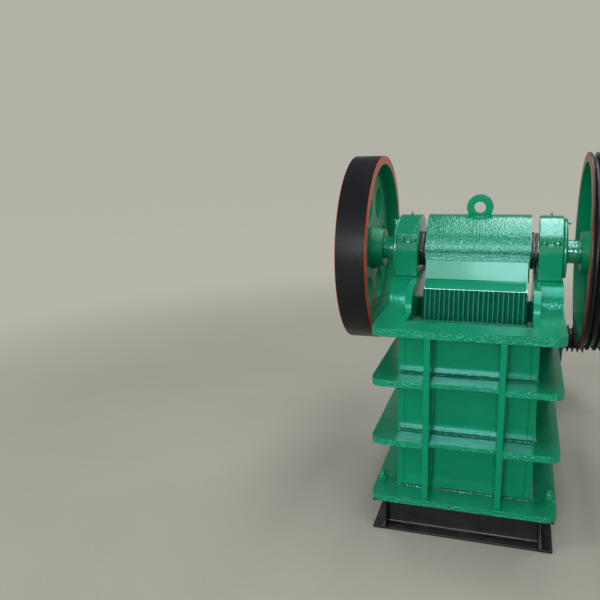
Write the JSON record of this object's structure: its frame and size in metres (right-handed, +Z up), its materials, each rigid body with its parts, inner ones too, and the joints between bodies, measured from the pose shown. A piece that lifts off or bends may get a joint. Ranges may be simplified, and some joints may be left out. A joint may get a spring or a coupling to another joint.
{
  "type": "jaw crusher",
  "caption": "Small stationary jaw crusher: ribbed plate frame on a channel skid, swing jaw on an eccentric shaft, two flywheels, motor behind.",
  "frame": {"origin": "on the floor at the middle of the footprint, under the middle of the skid", "axes": "X across the machine to the right seen from the feed side, Y from the feed side back to the motor, Z up"},
  "size_m": [1.206, 2.03, 1.543],
  "materials": {
    "skid_paint": "black gloss enamel, dusty",
    "frame_green": "thick glossy green enamel over steel plate",
    "casting_green": "glossy green enamel over a rough casting",
    "wheel_paint": "black rim, orange face ring and green web",
    "pulley_paint": "black enamel with an orange face",
    "bare_steel": "turned steel, lightly oiled",
    "jaw_green": "cast jaw plate, sprayed green with the frame",
    "dark_steel": "bare dark steel",
    "motor_blue": "blue-grey motor enamel"
  },
  "bodies": {
    "frame": {"skid_left_beam": "skid_paint", "skid_right_beam": "skid_paint", "skid_front_beam": "skid_paint", "skid_rear_beam": "skid_paint", "skid_cross_beams": "skid_paint", "left_side_plate": "frame_green", "right_side_plate": "frame_green", "front_wall": "frame_green", "rear_wall": "frame_green", "top_flange": "frame_green", "upper_rib": "frame_green", "lower_rib": "frame_green", "base_flange": "frame_green", "front_uprights": "frame_green", "side_uprights": "frame_green", "left_pedestal": "frame_green", "right_pedestal": "frame_green", "toggle_seat": "frame_green", "rod_bracket": "frame_green", "slide_base": "frame_green", "left_bearing_base": "casting_green", "right_bearing_base": "casting_green", "left_bearing_cap": "casting_green", "right_bearing_cap": "casting_green", "end_covers": "casting_green", "fixed_jaw": "jaw_green", "left_cheek_plate": "jaw_green", "right_cheek_plate": "jaw_green", "toggle_plate": "dark_steel", "rod_spring": "dark_steel", "motor_body": "motor_blue", "motor_end_shields": "motor_blue", "motor_fan_cover": "motor_blue", "motor_terminal_box": "motor_blue"},
    "rotor": {"eccentric_shaft": "bare_steel", "shaft_collars": "casting_green", "seal_rings": "bare_steel", "left_flywheel": "wheel_paint", "grooved_wheel": "wheel_paint"},
    "swing_jaw": {"pitman": "casting_green", "moving_jaw": "jaw_green", "jaw_clamp": "casting_green", "lifting_eye": "casting_green", "tension_rod": "dark_steel"},
    "motor_rotor": {"motor_shaft": "bare_steel", "motor_pulley": "pulley_paint"}
  },
  "joints": [
    {"name": "shaft_turn", "type": "hinge", "parent": "frame", "child": "rotor", "pos_m": [0, -0.322, 1.105], "axis": [1, 0, 0], "continuous": true},
    {"name": "jaw_swing", "type": "hinge", "parent": "rotor", "child": "swing_jaw", "pos_m": [0, -0.322, 1.113], "axis": [1, 0, 0], "continuous": true},
    {"name": "motor_turn", "type": "hinge", "parent": "frame", "child": "motor_rotor", "pos_m": [0, 0.715, 0.395], "axis": [1, 0, 0], "continuous": true}
  ],
  "couplings": [
    {"joint": "jaw_swing", "follows": "shaft_turn", "ratio": -1}
  ]
}
